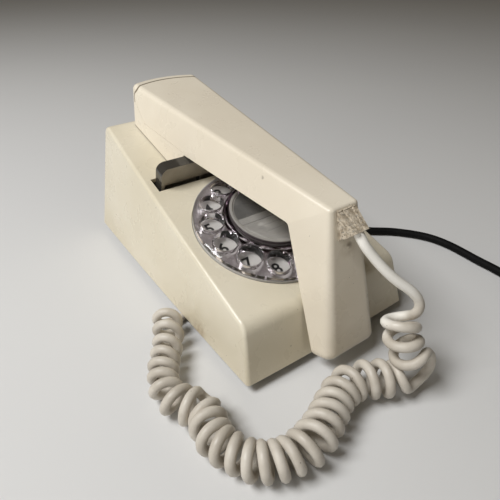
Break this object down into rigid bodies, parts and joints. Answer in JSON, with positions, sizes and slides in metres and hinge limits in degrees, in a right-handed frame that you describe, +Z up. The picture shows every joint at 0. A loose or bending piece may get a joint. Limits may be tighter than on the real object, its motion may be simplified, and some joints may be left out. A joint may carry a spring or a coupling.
{
  "type": "rotary telephone",
  "caption": "Slim one-piece desk telephone with a rotary dial under its handset, a smoked hook bar, a curly handset cord and a line cord.",
  "frame": {"origin": "on the table, under the middle of the telephone without its cords", "axes": "+Z up, +Y from the dialling side to the rear, +X to the user's right"},
  "size_m": [0.287, 0.3379, 0.0984],
  "materials": {
    "case_ivory": "soft gloss",
    "hand_cream": "soft gloss",
    "base_grey": "moulded",
    "black_rubber": "matt",
    "black_plastic": "moulded",
    "bright_steel": "plated",
    "frame_alloy": "cast",
    "gear_brass": "cut",
    "number_grey": "printed",
    "clear_mauve": "clear plastic",
    "clear_cap": "clear plastic",
    "smoke": "smoked plastic",
    "board_green": "lacquered",
    "copper_tape": "taped",
    "tan_rubber": "worn",
    "cord_grey": "satin",
    "plug_white": "moulded"
  },
  "bodies": {
    "base": {"case_cover": "case_ivory", "base_plate": "base_grey", "rubber_feet": "black_rubber", "case_screws": "bright_steel", "dial_frame": "frame_alloy", "number_ring": "number_grey", "finger_stop": "bright_steel", "dial_screws": "bright_steel", "main_spring": "bright_steel", "pulse_contacts": "bright_steel", "governor_cup": "frame_alloy", "hook_guide": "base_grey", "hook_spring": "bright_steel", "hook_contacts": "bright_steel", "circuit_board": "board_green", "transformer_core": "bright_steel", "transformer_winding": "copper_tape", "capacitors": "frame_alloy", "terminal_block": "black_plastic", "terminal_screws": "bright_steel", "tone_sounder": "black_plastic", "sounder_clip": "bright_steel", "handset_cord_gland": "tan_rubber", "handset_cord_curl": "cord_grey", "handset_cord_base_tail": "cord_grey", "line_cord_gland": "black_rubber", "line_cord": "black_rubber", "line_cord_coil": "black_rubber", "line_cord_tie": "black_plastic", "line_plug": "plug_white"},
    "dial": {"finger_plate": "clear_mauve", "dial_spindle": "bright_steel", "main_wheel": "gear_brass", "label_carrier": "number_grey", "label_disc": "number_grey", "label_cap": "clear_cap"},
    "impulse": {"impulse_wheel": "gear_brass", "impulse_cam": "bright_steel"},
    "governor": {"governor_shaft": "bright_steel", "governor_weights": "gear_brass"},
    "hook": {"hook_bar": "smoke", "hook_carrier": "black_plastic"},
    "volume": {"volume_slider": "base_grey"},
    "handset": {"handset_shell": "hand_cream", "earpiece_cover": "hand_cream", "receiver_capsule": "frame_alloy", "receiver_gasket": "black_rubber", "transmitter_capsule": "frame_alloy", "mouthpiece_grille": "hand_cream", "cord_strain_relief": "tan_rubber", "handset_screws": "bright_steel", "handset_cord_tail": "cord_grey"}
  },
  "joints": [
    {"name": "handset_lift", "type": "slide", "parent": "base", "child": "handset", "axis": [0, -0.2706, 0.9627], "range_m": [0, 0.12], "deforming": ["handset_cord_tail", "handset_cord_curl", "handset_cord_base_tail"]},
    {"name": "hook_rise", "type": "slide", "parent": "base", "child": "hook", "axis": [0, -0.2706, 0.9627], "range_m": [0, 0.007], "deforming": ["hook_spring"]},
    {"name": "dial_turn", "type": "hinge", "parent": "base", "child": "dial", "pos_m": [0, -0.02665, 0.04593], "axis": [0, -0.2706, 0.9627], "range_deg": [-306, 0], "stiffness_Nm_per_rad": 0.006, "springref_deg": 114.59, "deforming": ["main_spring"]},
    {"name": "impulse_spin", "type": "hinge", "parent": "base", "child": "impulse", "pos_m": [0.02967, -0.01511, 0.04918], "axis": [0, -0.2706, 0.9627], "range_deg": [0, 918]},
    {"name": "governor_spin", "type": "hinge", "parent": "base", "child": "governor", "pos_m": [-0.02206, -0.00883, 0.05094], "axis": [0, -0.2706, 0.9627], "range_deg": [0, 1530]},
    {"name": "volume_slide", "type": "slide", "parent": "base", "child": "volume", "axis": [0, 1, 0], "range_m": [-0.006, 0.006]}
  ],
  "couplings": [
    {"joint": "hook_rise", "follows": "handset_lift", "ratio": 0.058333},
    {"joint": "impulse_spin", "follows": "dial_turn", "ratio": -3},
    {"joint": "governor_spin", "follows": "dial_turn", "ratio": -5}
  ]
}
